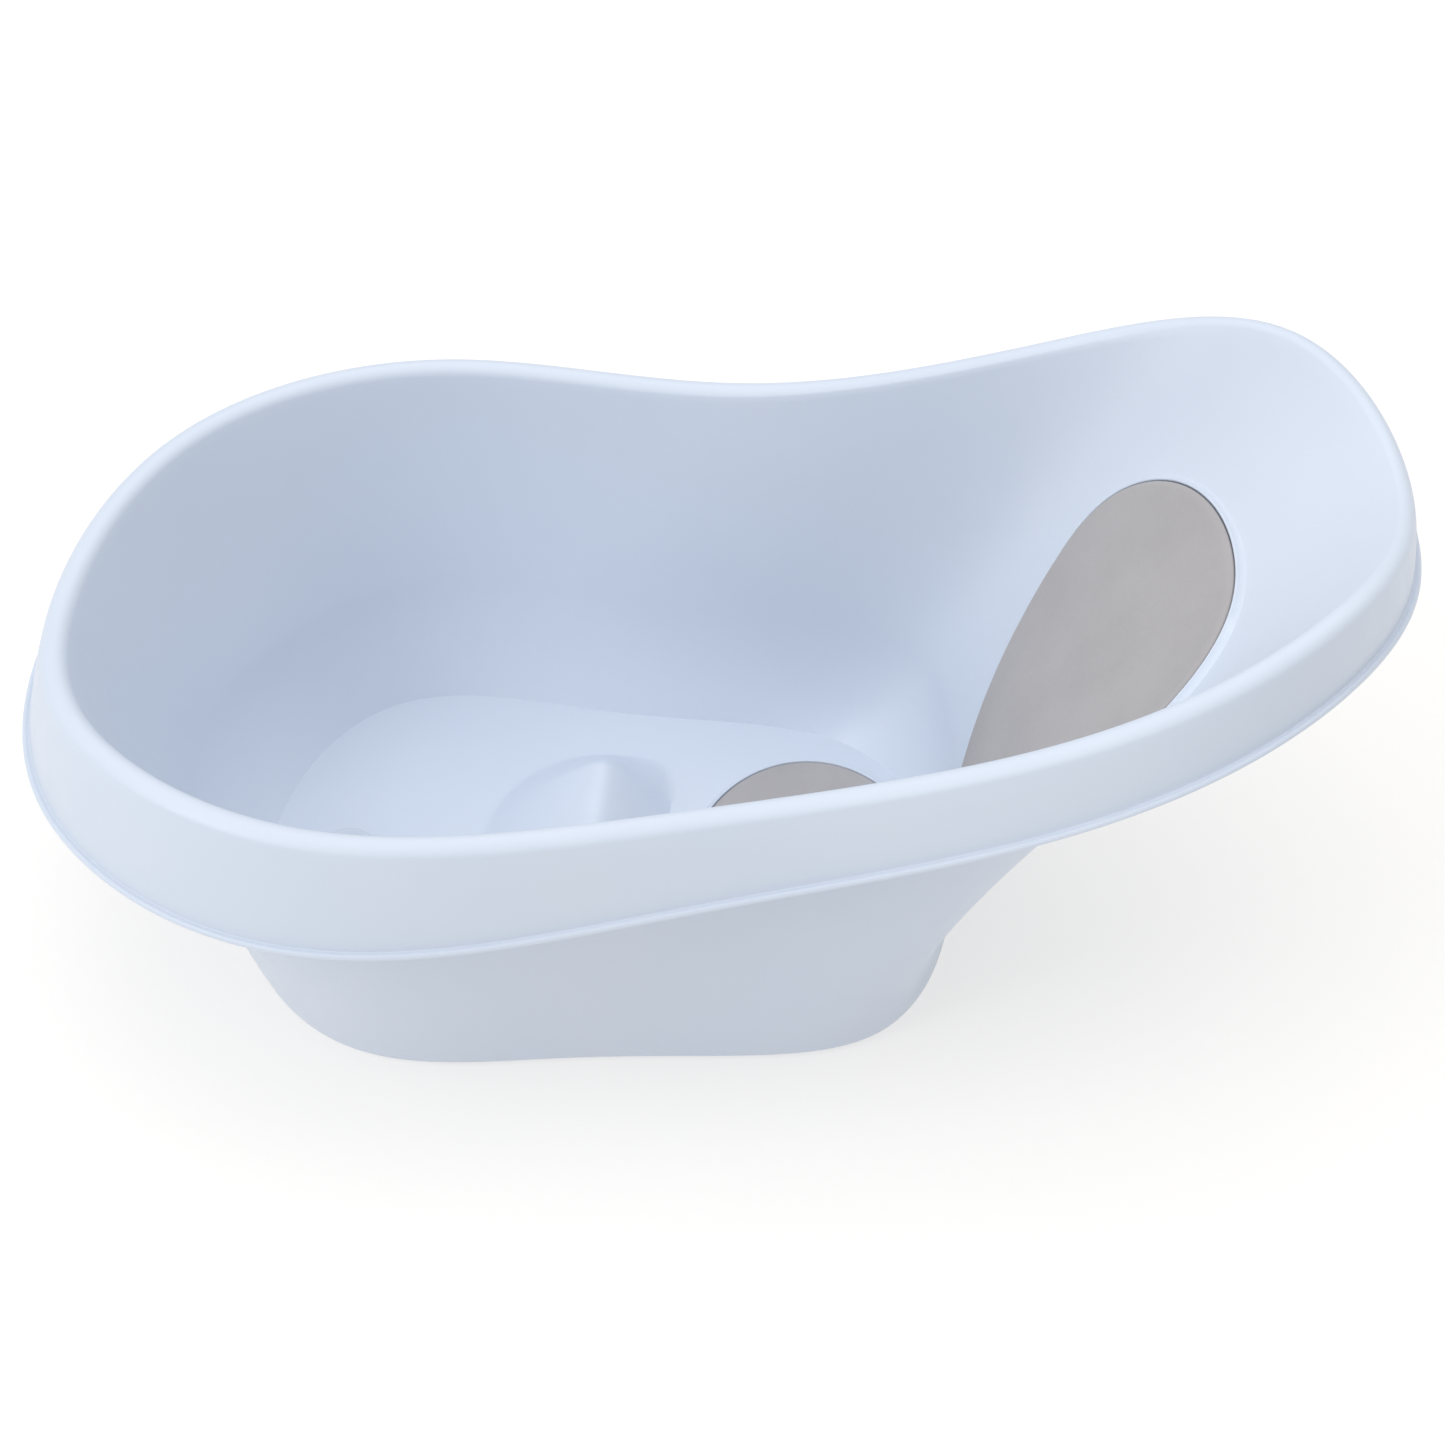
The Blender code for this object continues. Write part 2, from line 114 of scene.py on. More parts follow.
# Soft pads.
BACKREST_GAP = 0.9
PAD_THICKNESS = 5.0
PAD_GAP = 0.3
LIP_GAP = 0.8
LIP_HALF = 0.8
LIP_HEIGHT = 3.6
BACKREST_LOW = 0.13
BACKREST_TOP = 0.814
BACKREST_HALF = (85.0, 74.0)

# Legs under the head end.
LEG_WIDTH = 26.0
LEG_THICKNESS = 8.0
LEG_EYE_RADIUS = 6.5
LEG_WALL_HEIGHT = 0.5
LEG_STAND_OFF = 12.5
PIN_RADIUS = 2.5
PIN_GAP = 0.3
EAR_THICKNESS = 4.0
EAR_RADIUS = 7.5
EAR_SINK = 1.4
TIP_LENGTH = 14.0

AROUND = 200
COARSE_AROUND = 60

# Half length of the tools that drill holes.
DRILL = 20.0


# ---------------------------------------------------------------- materials

class Nodes:
    """Small helper that adds nodes to one material and links them."""

    def __init__(self, name):
        self.material = bpy.data.materials.new(name)
        self.material.use_nodes = True
        self.tree = self.material.node_tree
        self.shader = self.tree.nodes["Principled BSDF"]
        self.place = self.add("ShaderNodeTexCoord").outputs["Object"]

    def add(self, kind, **settings):
        made = self.tree.nodes.new(kind)
        for name, value in settings.items():
            setattr(made, name, value)
        return made

    def link(self, start, end):
        self.tree.links.new(start, end)

    def noise(self, scale, detail=2.0, roughness=0.5):
        made = self.add("ShaderNodeTexNoise")
        made.inputs["Scale"].default_value = scale
        made.inputs["Detail"].default_value = detail
        made.inputs["Roughness"].default_value = roughness
        self.link(self.place, made.inputs["Vector"])
        return made.outputs["Fac"]

    def cells(self, scale):
        made = self.add("ShaderNodeTexVoronoi")
        made.inputs["Scale"].default_value = scale
        self.link(self.place, made.inputs["Vector"])
        return made.outputs["Distance"]

    def spread(self, value, low, high, to_low, to_high):
        """Stretch a value from one range to another."""
        made = self.add("ShaderNodeMapRange")
        for name, number in (("From Min", low), ("From Max", high),
                             ("To Min", to_low), ("To Max", to_high)):
            made.inputs[name].default_value = number
        self.link(value, made.inputs["Value"])
        return made.outputs["Result"]

    def blend(self, share, first, second):
        """Mix two colours; each is a colour or the output of another node."""
        made = self.add("ShaderNodeMix", data_type="RGBA")
        self.link(share, made.inputs["Factor"])
        for socket, value in ((made.inputs[6], first), (made.inputs[7], second)):
            if isinstance(value, tuple):
                socket.default_value = (*value, 1.0)
            else:
                self.link(value, socket)
        return made.outputs[2]

    def bump(self, height, distance, strength, before=None):
        made = self.add("ShaderNodeBump")
        made.inputs["Distance"].default_value = distance
        made.inputs["Strength"].default_value = strength
        self.link(height, made.inputs["Height"])
        if before is not None:
            self.link(before, made.inputs["Normal"])
        return made.outputs["Normal"]

    def finish(self, colour, roughness, normal):
        self.link(colour, self.shader.inputs["Base Color"])
        self.link(roughness, self.shader.inputs["Roughness"])
        self.link(normal, self.shader.inputs["Normal"])
        return self.material


def moulded_plastic(name, pale, deep, rough_low, rough_high):
    """Satin moulded plastic: soft clouds of tone, a painted highlight on sharp convex edges, slight orange
    peel and a fine grain.
    """
    nodes = Nodes(name)
    clouds = nodes.spread(nodes.noise(7.0, 3.0), 0.35, 0.65, 0.0, 1.0)
    speckle = nodes.spread(nodes.noise(900.0, 3.0), 0.3, 0.7, 0.0, 1.0)
    tone = nodes.blend(clouds, pale, deep)
    # Painted highlight: sharp convex edges are mixed toward a lighter blue, standing in for light catching
    # them.
    highlight_pointiness = nodes.add("ShaderNodeNewGeometry").outputs["Pointiness"]
    edge = nodes.spread(highlight_pointiness, 0.52, 0.60, 0.0, 0.35)
    tone = nodes.blend(edge, tone, tuple(min(1.0, 1.12 * value) for value in pale))
    darker = tuple(0.96 * value for value in deep)
    faint = nodes.spread(speckle, 0.0, 1.0, 0.0, 0.12)
    tone = nodes.blend(faint, tone, darker)
    rough = nodes.spread(nodes.noise(60.0, 4.0), 0.3, 0.7, rough_low, rough_high)
    peel = nodes.bump(nodes.noise(220.0, 1.0), 0.0004, 0.10)
    grain = nodes.bump(nodes.noise(2600.0, 2.0), 0.0001, 0.25, peel)
    return nodes.finish(tone, rough, grain)


def soft_foam():
    """Warm grey closed-cell foam: tiny pores with painted shade in them, faint mottling, no gloss."""
    nodes = Nodes("grey_closed_cell_foam")
    clouds = nodes.spread(nodes.noise(14.0, 4.0), 0.35, 0.65, 0.0, 1.0)
    tone = nodes.blend(clouds, (0.415, 0.402, 0.408), (0.378, 0.366, 0.374))
    pores = nodes.cells(1500.0)
    # Painted shade: the pore pits, which the bump below sinks, are mixed toward a darker grey.
    painted_pore_shade = nodes.spread(pores, 0.0, 0.35, 0.30, 0.0)
    tone = nodes.blend(painted_pore_shade, tone, (0.30, 0.29, 0.30))
    rough = nodes.spread(nodes.noise(300.0, 3.0), 0.3, 0.7, 0.72, 0.9)
    soft = nodes.bump(nodes.noise(160.0, 3.0), 0.0006, 0.12)
    normal = nodes.bump(pores, 0.0002, 0.35, soft)
    nodes.shader.inputs["Sheen Weight"].default_value = 0.08
    return nodes.finish(tone, rough, normal)


def rubber():
    """Dark grey rubber with a dusty bloom and a coarse grain."""
    nodes = Nodes("dark_grey_rubber")
    dust = nodes.spread(nodes.noise(180.0, 5.0, 0.6), 0.4, 0.75, 0.0, 0.6)
    tone = nodes.blend(dust, (0.05, 0.05, 0.054), (0.12, 0.12, 0.125))
    rough = nodes.spread(nodes.noise(500.0, 3.0), 0.3, 0.7, 0.65, 0.9)
    normal = nodes.bump(nodes.noise(1800.0, 3.0), 0.0002, 0.4)
    return nodes.finish(tone, rough, normal)


def white_floor():
    """Matt white floor that glows a little, with a very faint mottle."""
    nodes = Nodes("studio_floor")
    patches = nodes.spread(nodes.noise(3.0, 3.0), 0.3, 0.7, 0.0, 1.0)
    tone = nodes.blend(patches, (0.50, 0.50, 0.50), (0.49, 0.49, 0.49))
    rough = nodes.spread(nodes.noise(40.0, 3.0), 0.3, 0.7, 0.85, 0.95)
    normal = nodes.bump(nodes.noise(400.0, 2.0), 0.0001, 0.1)
    nodes.shader.inputs["Specular IOR Level"].default_value = 0.0
    nodes.shader.inputs["Emission Color"].default_value = (1.0, 0.98, 0.95, 1.0)
    nodes.shader.inputs["Emission Strength"].default_value = 0.52
    return nodes.finish(tone, rough, normal)


# ---------------------------------------------------------------- mesh tools

def add_mesh(name, points, faces, look, sharp_degrees=38.0):
    """New smooth object from millimetre points; doubles merge and faces turn outward."""
    mesh = bpy.data.meshes.new(name)
    mesh.from_pydata((np.asarray(points, float) * MM).tolist(), [], faces)
    work = bmesh.new()
    work.from_mesh(mesh)
    bmesh.ops.remove_doubles(work, verts=work.verts, dist=0.000008)
    bmesh.ops.dissolve_degenerate(work, edges=work.edges, dist=0.000004)
    bmesh.ops.recalc_face_normals(work, faces=work.faces)
    work.to_mesh(mesh)
    work.free()
    mesh.materials.append(look)
    made = bpy.data.objects.new(name, mesh)
    bpy.context.collection.objects.link(made)
    shade(made, sharp_degrees)
    return made


def shade(item, sharp_degrees=38.0):
    """Smooth shading that stays crisp across edges sharper than the angle."""
    for face in item.data.polygons:
        face.use_smooth = True
    item.data.set_sharp_from_angle(angle=math.radians(sharp_degrees))


def ring_faces(ring_count, size):
    faces = []
    for row in range(ring_count - 1):
        for column in range(size):
            after = (column + 1) % size
            faces.append((row * size + column, row * size + after,
                          (row + 1) * size + after, (row + 1) * size + column))
    return faces


def combine(target, tool, action):
    """Join or cut with a tool object, keep the result as the target's mesh, drop the tool."""
    step = target.modifiers.new("combine", "BOOLEAN")
    step.operation = action
    step.object = tool
    step.solver = "EXACT"
    graph = bpy.context.evaluated_depsgraph_get()
    made = bpy.data.meshes.new_from_object(target.evaluated_get(graph))
    target.modifiers.clear()
    target.data = made
    bpy.data.objects.remove(tool, do_unlink=True)
    shade(target)


def turned(name, profile, centre, look, axis="Z", segments=64):
    """Closed turned solid from (radius, height) pairs about an axis through the centre."""
    points = []
    for radius, height in profile:
        for turn in range(segments):
            angle = 2 * math.pi * (turn + 0.5) / segments
            a, b = radius * math.cos(angle), radius * math.sin(angle)
            local = (a, height, b) if axis == "Y" else (a, b, height)
            points.append([c + p for c, p in zip(centre, local)])
    return add_mesh(name, points, ring_faces(len(profile), segments), look)


def drill_profile(radius, reach):
    """Profile of a round drilling tool that reaches equally far both ways."""
    return [(0, -reach), (radius, -reach), (radius, reach), (0, reach)]


def plate(name, profile, middle_y, width, look, edge=0.0):
    """Closed plate: an outline in X and Z with its width along Y, its edges rounded."""
    count = len(profile)
    points = [(x, middle_y + end * 0.5 * width, z) for end in (-1, 1) for x, z in profile]
    faces = ring_faces(2, count)
    faces += [tuple(range(count)), tuple(range(count, 2 * count))]
    made = add_mesh(name, points, faces, look)
    if edge > 0:
        round_edges(made, edge)
    return made


def round_edges(item, radius):
    """Round every sharp edge of a small solid by a radius in millimetres."""
    work = bmesh.new()
    work.from_mesh(item.data)
    sharp = [edge for edge in work.edges
             if len(edge.link_faces) == 2 and edge.calc_face_angle() > math.radians(32)]
    bmesh.ops.bevel(work, geom=sharp, offset=radius * MM, segments=4, profile=0.5,
                    affect="EDGES", clamp_overlap=True)
    bmesh.ops.recalc_face_normals(work, faces=work.faces)
    work.to_mesh(item.data)
    work.free()
    shade(item)


# ---------------------------------------------------------------- the tub's form

def spline(values, places):
    """Smooth curve through evenly spaced values, flat at both ends."""
    values = np.asarray(values, float)
    count = len(values)
    step = 1.0 / (count - 1)
    system = np.eye(count)
    right = np.zeros(count)
    for row in range(1, count - 1):
        system[row, row - 1:row + 2] = (1.0, 4.0, 1.0)
        right[row] = 3.0 * (values[row + 1] - values[row - 1]) / step
    slopes = np.linalg.solve(system, right)
    places = np.asarray(places, float)
    cell = np.clip((places / step).astype(int), 0, count - 2)
    t = places / step - cell
    low, high = values[cell], values[cell + 1]
    slope_low, slope_high = slopes[cell] * step, slopes[cell + 1] * step
    return ((2 * t**3 - 3 * t**2 + 1) * low + (t**3 - 2 * t**2 + t) * slope_low
            + (3 * t**2 - 2 * t**3) * high + (t**3 - t**2) * slope_high)


def smooth_step(value, low, high):
    share = np.clip((value - low) / (high - low), 0.0, 1.0)
    return share * share * (3.0 - 2.0 * share)


def around_places(half_count):
    """Places along the tub for one closed ring: out along +Y, back along -Y."""
    half = np.arange(half_count + 1) / half_count
    places = np.concatenate([half, half[-2:0:-1]])
    side = np.concatenate([np.ones(half_count + 1), -np.ones(half_count - 1)])
    return places, side


def outline(length, middle, widths, places, side):
    """Closed plan outline and its outward normals."""
    x = middle - 0.5 * length * np.cos(math.pi * places)
    y = side * np.sin(math.pi * places) * spline(widths, places)
    points = np.stack([x, y], axis=1)
    along = np.roll(points, -1, axis=0) - np.roll(points, 1, axis=0)
    normals = np.stack([-along[:, 1], along[:, 0]], axis=1)
    return points, normals / np.linalg.norm(normals, axis=1)[:, None]


def bump_height(x, y):
    """Height of the seat bump above the floor: rounded outline, crest across the tub."""
    across = np.clip(np.abs(y) / BUMP_HALF_WIDTH, 0.0, 1.0)
    foot_run = BUMP_FOOT_RUN * np.sqrt(1.0 - across**2) + 1e-6
    head_run = BUMP_HEAD_RUN * (1.0 - across**5) ** (1 / 5) + 1e-6
    away = np.hypot(x - BUMP_CREST_X, BUMP_CREST_ROUND) - BUMP_CREST_ROUND
    climb = np.clip(1.0 - away / np.where(x < BUMP_CREST_X, foot_run, head_run), 0.0, 1.0)
    past = np.hypot(np.maximum(np.abs(y) - BUMP_SHOULDER, 0.0), BUMP_CREST_ROUND) - BUMP_CREST_ROUND
    end = np.hypot(BUMP_HALF_WIDTH - BUMP_SHOULDER, BUMP_CREST_ROUND) - BUMP_CREST_ROUND
    return BUMP_HEIGHT * climb * np.clip(1.0 - past / end, 0.0, 1.0)


def drain_dish(x, y):
    """Shallow dish that the stopper sits in: 1 at its full depth, 0 outside it."""
    low, high = node_box("drain_plug")
    middle = 0.5 * (low + high)
    away = np.hypot(x - middle[0], y - middle[1])
    cap = 0.5 * (high[0] - low[0])
    return 1.0 - smooth_step(away, cap + 0.6, cap + 2.2)


def ring(plan, height):
    return np.column_stack([plan, np.broadcast_to(height, len(plan))])


class TubForm:
    """The lines that shape the tub, sampled at the same places all the way round."""

    def __init__(self, half_count):
        places, side = around_places(half_count)
        self.floor, _ = outline(FLOOR_LENGTH, FLOOR_MIDDLE_X, FLOOR_WIDTHS, places, side)
        self.base, self.base_out = outline(BASE_LENGTH, BASE_MIDDLE_X, BASE_WIDTHS, places, side)
        self.rim, self.rim_out = outline(RIM_LENGTH, RIM_MIDDLE_X, RIM_WIDTHS, places, side)
        self.rim_z = spline(RIM_HEIGHTS, places)
        self.flare = spline(WALL_FLARE, places)
        self.fillet_top = spline(FILLET_TOP, places)
        self.spread = spline(ROLL_SPREAD, places)
        out, drop = spline(APRON_OUT, places), spline(APRON_DROP, places)
        self.apron_size = np.hypot(out, drop)
        self.apron_down = np.stack([out, -drop], axis=1) / self.apron_size[:, None]
        self.apron_face = np.stack([drop, out], axis=1) / self.apron_size[:, None]
        self.start = self.base - self.base_out * BASE_WALL
        reach = np.linalg.norm(self.rim - self.start, axis=1)
        self.lean = np.arctan2(self.rim_z - FLOOR_Z, self.flare * reach)
        foot, head = FLOOR_MIDDLE_X - MEDIAL_FOOT, FLOOR_MIDDLE_X + MEDIAL_HEAD
        self.medial = np.stack([np.clip(self.floor[:, 0], foot, head), np.zeros(len(places))], axis=1)

    def edge_ring(self, outward, down):
        """Ring at a distance out from the apron's line and a distance down along it."""
        offset = self.apron_face * np.reshape(outward, (-1, 1)) + self.apron_down * np.reshape(down, (-1, 1))
        return ring(self.rim + self.rim_out * offset[:, :1], self.rim_z + offset[:, 1])

    def roll_ring(self, radius, angle):
        """Ring on the rolled edge, turned from the wall side (0) over the top to the apron (1)."""
        first = 0.5 * math.pi + self.lean
        last = np.arctan2(self.apron_face[:, 1], self.apron_face[:, 0])
        turn = first + (last - first) * angle
        away = (radius + self.spread * angle**2)[:, None]
        offset = away * np.stack([np.cos(turn), np.sin(turn)], axis=1)
        return ring(self.rim + self.rim_out * offset[:, :1], self.rim_z + offset[:, 1])

    def wall_ring(self, climb):
        """Ring on the inner wall, from the floor (0) to the roll (1)."""
        top = self.roll_ring(ROLL_RADIUS, 0.0)
        share = np.broadcast_to(np.maximum(climb, 0.0) ** self.flare, len(top))[:, None]
        plan = self.start + (top[:, :2] - self.start) * share
        return ring(plan, FLOOR_Z + (top[:, 2] - FLOOR_Z) * climb)

    def outer_ring(self, climb):
        """Ring on the outside of the wall, one wall thickness from the inner one."""
        here = self.wall_ring(climb)
        up = self.wall_ring(climb + 0.01) - self.wall_ring(climb - 0.01)
        along = np.roll(here, -1, axis=0) - np.roll(here, 1, axis=0)
        normal = np.cross(along, up)
        normal /= np.linalg.norm(normal, axis=1)[:, None]
        outward = np.sum(normal[:, :2] * self.rim_out, axis=1) > 0
        normal[~outward] *= -1.0
        thickness = WALL + (BASE_WALL - WALL) * (1.0 - climb) ** 8
        return here + normal * thickness

    def fillet_ring(self, part):
        """Ring on the curve that joins the floor (0) to the inner wall (1)."""
        low = ring(self.floor, FLOOR_Z)
        high = self.wall_ring(self.fillet_top)
        corner = low + (high - low) * FILLET_CORNER
        return (1 - part) ** 2 * low + 2 * part * (1 - part) * corner + part**2 * high

    def floor_ring(self, inward, base_z, dish):
        """Ring on the floor or its underside, from the crease (0) to the middle line (1)."""
        plan = self.floor + (self.medial - self.floor) * inward
        rise = bump_height(plan[:, 0], plan[:, 1]) - dish * drain_dish(plan[:, 0], plan[:, 1])
        return ring(plan, base_z + rise)

    def bottom_edge_ring(self, turn):
        """Ring round the bottom edge, from flat underneath (0) to upright (1)."""
        angle = 0.5 * math.pi * turn
        inward = BASE_EDGE_RADIUS * (1.0 - math.sin(angle))
        height = BOTTOM_Z + BASE_EDGE_RADIUS * (1.0 - math.cos(angle))
        return ring(self.base - self.base_out * inward, height)

    def under_rings(self):
        """Underside of the floor and the bottom edge, with a shallow standing bead."""
        found = [self.floor_ring(part, BOTTOM_Z, 0.0) for part in np.linspace(1.0, 0.04, 40)]
        inset = BASE_EDGE_RADIUS + 1.0
        for part in np.linspace(0.0, 1.0, 9):
            drop = STANDING_BEAD * math.sin(math.pi * part)
            plan = self.base - self.base_out * (inset + 6.0 * (1.0 - part))
            found.append(ring(plan, BOTTOM_Z - drop))
        found += [self.bottom_edge_ring(turn) for turn in np.linspace(0.0, 1.0, 6)]
        return found

    def apron_rings(self):
        """Inside of the apron, the hem bead and the apron's face."""
        size = self.apron_size
        nose = 0.5 * HEM_HEIGHT
        found = []
        for part in np.linspace(0.12, 1.0, 8):
            outward = (ROLL_RADIUS + self.spread - WALL) * (1.0 - part) - APRON_THICKNESS * part
            found.append(self.edge_ring(outward, size * part))
        for turn in np.linspace(-0.5, 0.5, 9):
            outward = HEM_LIP - nose + nose * math.cos(math.pi * turn)
            down = size - nose - nose * math.sin(math.pi * turn)
            found.append(self.edge_ring(np.full(len(size), outward), down))
        for turn in np.linspace(0.0, 0.5, 4):
            outward = 0.9 - 0.9 * math.sin(math.pi * turn)
            down = size - HEM_HEIGHT - 0.9 + 0.9 * math.cos(math.pi * turn)
            found.append(self.edge_ring(np.full(len(size), outward), down))
        top = size - HEM_HEIGHT - 0.9
        for part in np.linspace(0.94, 0.03, 16):
            outward = (ROLL_RADIUS + self.spread) * (1.0 - part ** 1.35)
            found.append(self.edge_ring(outward, top * part))
        return found

    def rings(self):
        """All rings of the tub's skin, from under the middle round to the floor's middle line."""
        found = self.under_rings()
        found += [self.outer_ring(climb) for climb in np.linspace(0.04, 0.95, 36)]
        found += [self.roll_ring(ROLL_RADIUS - WALL, angle) for angle in np.linspace(0.0, 1.0, 8)]
        found += self.apron_rings()
        found += [self.roll_ring(ROLL_RADIUS, angle) for angle in np.linspace(1.0, 0.0, 18)]
        low = self.fillet_top + 0.015
        found += [self.wall_ring(0.98 + (low - 0.98) * part) for part in np.linspace(0.0, 1.0, 50)]
        found += [self.fillet_ring(part) for part in np.linspace(1.0, 0.0, 14)]
        found += [self.floor_ring(part, FLOOR_Z, DRAIN_DISH) for part in np.linspace(0.01, 1.0, 80)]
        return found

    def side_profile(self, y, surface, climbs):
        """Points of a wall surface in the upright plane at this y, on the head end."""
        found = []
        half = len(self.rim) // 2
        for climb in climbs:
            line = surface(climb)[half // 2:half + 1]
            order = np.argsort(line[:, 1])
            x = np.interp(abs(y), line[order, 1], line[order, 0])
            z = np.interp(abs(y), line[order, 1], line[order, 2])
            found.append((x, z))
        return np.array(found)


def tub_moulding(form, look):
    """The moulded tub with its drain hole; leg_ears joins the ears to it."""
    rings = form.rings()
    tub = add_mesh("tub_moulding", np.concatenate(rings), ring_faces(len(rings), len(rings[0])), look)
    low, high = node_box("drain_plug")
    middle = 0.5 * (low + high)
    hole = turned("drain_hole_tool", drill_profile(DRAIN_RADIUS, DRILL),
                  (middle[0], middle[1], 5.0), look, segments=80)
    combine(tub, hole, "DIFFERENCE")
    return tub


# ---------------------------------------------------------------- pads

class HeadWall:
    """Finds points on the inner head wall from a height share and a side distance."""

    def __init__(self, form):
        self.form = form

    def point(self, climb, y):
        x, z = self.form.side_profile(y, self.form.wall_ring, [climb])[0]
        return np.array([x, y, z])

    def spot(self, climb, y):
        """Point on the wall and the direction that faces into the tub there."""
        up = self.point(climb + 0.01, y) - self.point(climb - 0.01, y)
        side = self.point(climb, y + 1.0) - self.point(climb, y - 1.0)
        normal = np.cross(side, up)
        normal /= np.linalg.norm(normal)
        return self.point(climb, y), normal if normal[2] > 0 else -normal

    def loop(self, share, count):
        """Loop of the backrest pad's outline: a wide round top narrowing downward."""
        middle = 0.5 * (BACKREST_LOW + BACKREST_TOP)
        reach = 0.5 * (BACKREST_TOP - BACKREST_LOW)
        points, normals = [], []
        for angle in np.linspace(0.0, 2 * math.pi, count, endpoint=False):
            rise = math.sin(angle)
            half = BACKREST_HALF[0] + BACKREST_HALF[1] * rise
            y = share * half * math.cos(angle)
            point, normal = self.spot(middle + share * reach * rise, y)
            points.append(point)
            normals.append(normal)
        return np.array(points), np.array(normals)


def seat_loop(share, count):
    """Loop of the seat pad's oval, worked out from its CAD box."""
    low, high = node_box("seat_pad")
    middle, half = 0.5 * (low + high), 0.5 * (high - low)
    angles = np.linspace(0.0, 2 * math.pi, count, endpoint=False)
    points = np.column_stack([middle[0] + share * half[0] * np.cos(angles),
                              middle[1] + share * half[1] * np.sin(angles),
                              np.full(count, FLOOR_Z)])
    return points, np.tile((0.0, 0.0, 1.0), (count, 1))


def crowned_pad(name, loop, gap, look, count):
    """Closed foam pad on a surface: rounded rim, slightly crowned top, flat back."""
    levels = [(share, 0.0) for share in np.linspace(0.0, 0.97, 10)]
    levels += [(1.0, 0.06), (1.0, 0.45)]
    edge = 0.80
    for turn in np.linspace(0.15, 1.0, 7):
        levels.append((1.0 - 0.035 * (1.0 - math.cos(0.5 * math.pi * turn)),
                       0.45 + (edge - 0.45) * math.sin(0.5 * math.pi * turn)))
    for share in np.linspace(0.94, 0.0, 16):
        levels.append((share, edge + (1.0 - edge) * (1.0 - (share / 0.965) ** 2.5)))
    rings = []
    for share, level in levels:
        points, normals = loop(share, count)
        rings.append(points + normals * (gap + level * PAD_THICKNESS))
    return add_mesh(name, np.concatenate(rings), ring_faces(len(rings), count), look, 60.0)


def recess_lip(name, loop, look, count):
    """Thin raised lip moulded round a pad."""
    points, normals = loop(1.0, count)
    along = np.roll(points, -1, axis=0) - np.roll(points, 1, axis=0)
    outward = np.cross(along, normals)
    outward /= np.linalg.norm(outward, axis=1)[:, None]
    middle = points.mean(axis=0)
    flip = np.sum(outward * (points - middle), axis=1) < 0
    outward[flip] *= -1.0
    section = [(LIP_GAP, -0.6), (LIP_GAP, LIP_HEIGHT - LIP_HALF)]
    section += [(LIP_GAP + LIP_HALF + LIP_HALF * math.cos(turn),
                 LIP_HEIGHT - LIP_HALF + LIP_HALF * math.sin(turn))
                for turn in np.linspace(math.pi, 0.0, 9)[1:-1]]
    section += [(LIP_GAP + 2 * LIP_HALF, LIP_HEIGHT - LIP_HALF), (LIP_GAP + 2 * LIP_HALF + 2.0, 0.4),
                (LIP_GAP + 2 * LIP_HALF + 3.4, -0.6)]
    lines = [points + outward * out + normals * up for out, up in section]
    lines.append(lines[0])
    return add_mesh(name, np.concatenate(lines), ring_faces(len(lines), count), look, 60.0)


# ---------------------------------------------------------------- small parts

def drain_stopper(look):
    """Stopper with a ringed cap, a ribbed stem and a finger tab."""
    low, high = node_box("drain_plug")
    middle = 0.5 * (low + high)
    cap = 0.5 * (high[0] - low[0])
    stem = DRAIN_RADIUS - PLUG_GAP
    seat = FLOOR_Z + PAD_GAP
    profile = [(0.0, low[2]), (stem - 1.2, low[2]), (stem - 0.3, low[2] + 0.4), (stem, low[2] + 1.2),
               (stem, low[2] + 2.6), (stem - 0.5, low[2] + 3.0), (stem - 0.5, seat - 0.6),
               (stem - 0.1, seat - 0.2), (cap - 1.0, seat - 0.2), (cap - 0.3, seat + 0.1),
               (cap, seat + 0.6), (cap - 0.15, seat + 1.1), (cap - 0.7, seat + 1.6),
               (cap - 2.2, seat + 1.9), (cap - 3.2, seat + 1.8), (cap - 3.7, seat + 1.4),
               (cap - 4.7, seat + 1.4), (cap - 5.2, seat + 1.8), (cap - 6.2, seat + 2.1),
               (4.0, seat + 2.4), (0.0, seat + 2.5)]
    plug = turned("drain_stopper", profile, (middle[0], middle[1], 0.0), look, segments=72)
    base = seat + 1.2
    height = high[2] - base
    arc = [(middle[0] + 7.0 * math.cos(turn), base + height * math.sin(turn))
           for turn in np.linspace(0.0, math.pi, 33)]
    tab = plate("drain_tab_tool", arc, middle[1], 3.0, look, 0.8)
    combine(plug, tab, "UNION")
    return plug


def rubber_foot(name, node, look):
    """Round foot with a rolled edge and two grip rings underneath."""
    low, high = node_box(node)
    middle = 0.5 * (low + high)
    radius = 0.5 * (high[0] - low[0])
    top = high[2] - low[2]
    profile = [(0.0, 0.5), (2.0, 0.5), (2.4, 0.0), (4.4, 0.0), (4.8, 0.5), (6.4, 0.5), (6.8, 0.0),
               (radius - 1.0, 0.0), (radius - 0.3, 0.25), (radius, 0.9), (radius, top - 0.4),
               (radius - 0.4, top), (0.0, top)]
    return turned(name, profile, (middle[0], middle[1], low[2]), look)


class LegPlace:
    """Where one leg hangs: its pin from the joint, its direction along the tub's wall."""

    def __init__(self, form, joint):
        self.y = joint["pos_m"][1] / MM
        self.pivot = np.array([joint["pos_m"][0], joint["pos_m"][2]]) / MM
        climbs = (LEG_WALL_HEIGHT - 0.02, LEG_WALL_HEIGHT + 0.02)
        wall = form.side_profile(self.y, form.outer_ring, climbs)
        slope = wall[1] - wall[0]
        slope /= np.linalg.norm(slope)
        outward = np.array([slope[1], -slope[0]])
        high = form.side_profile(self.y, form.outer_ring, (0.9,))[0]
        aim = high + outward * (LEG_STAND_OFF - 3.0) - self.pivot
        self.along = aim / np.linalg.norm(aim)
        self.across = np.array([-self.along[1], self.along[0]])
        self.length = self.pivot[1] - 0.4
        self.bar_end = self.length - TIP_LENGTH + 4.0

    def at(self, along, across):
        return self.pivot + self.along * along + self.across * across


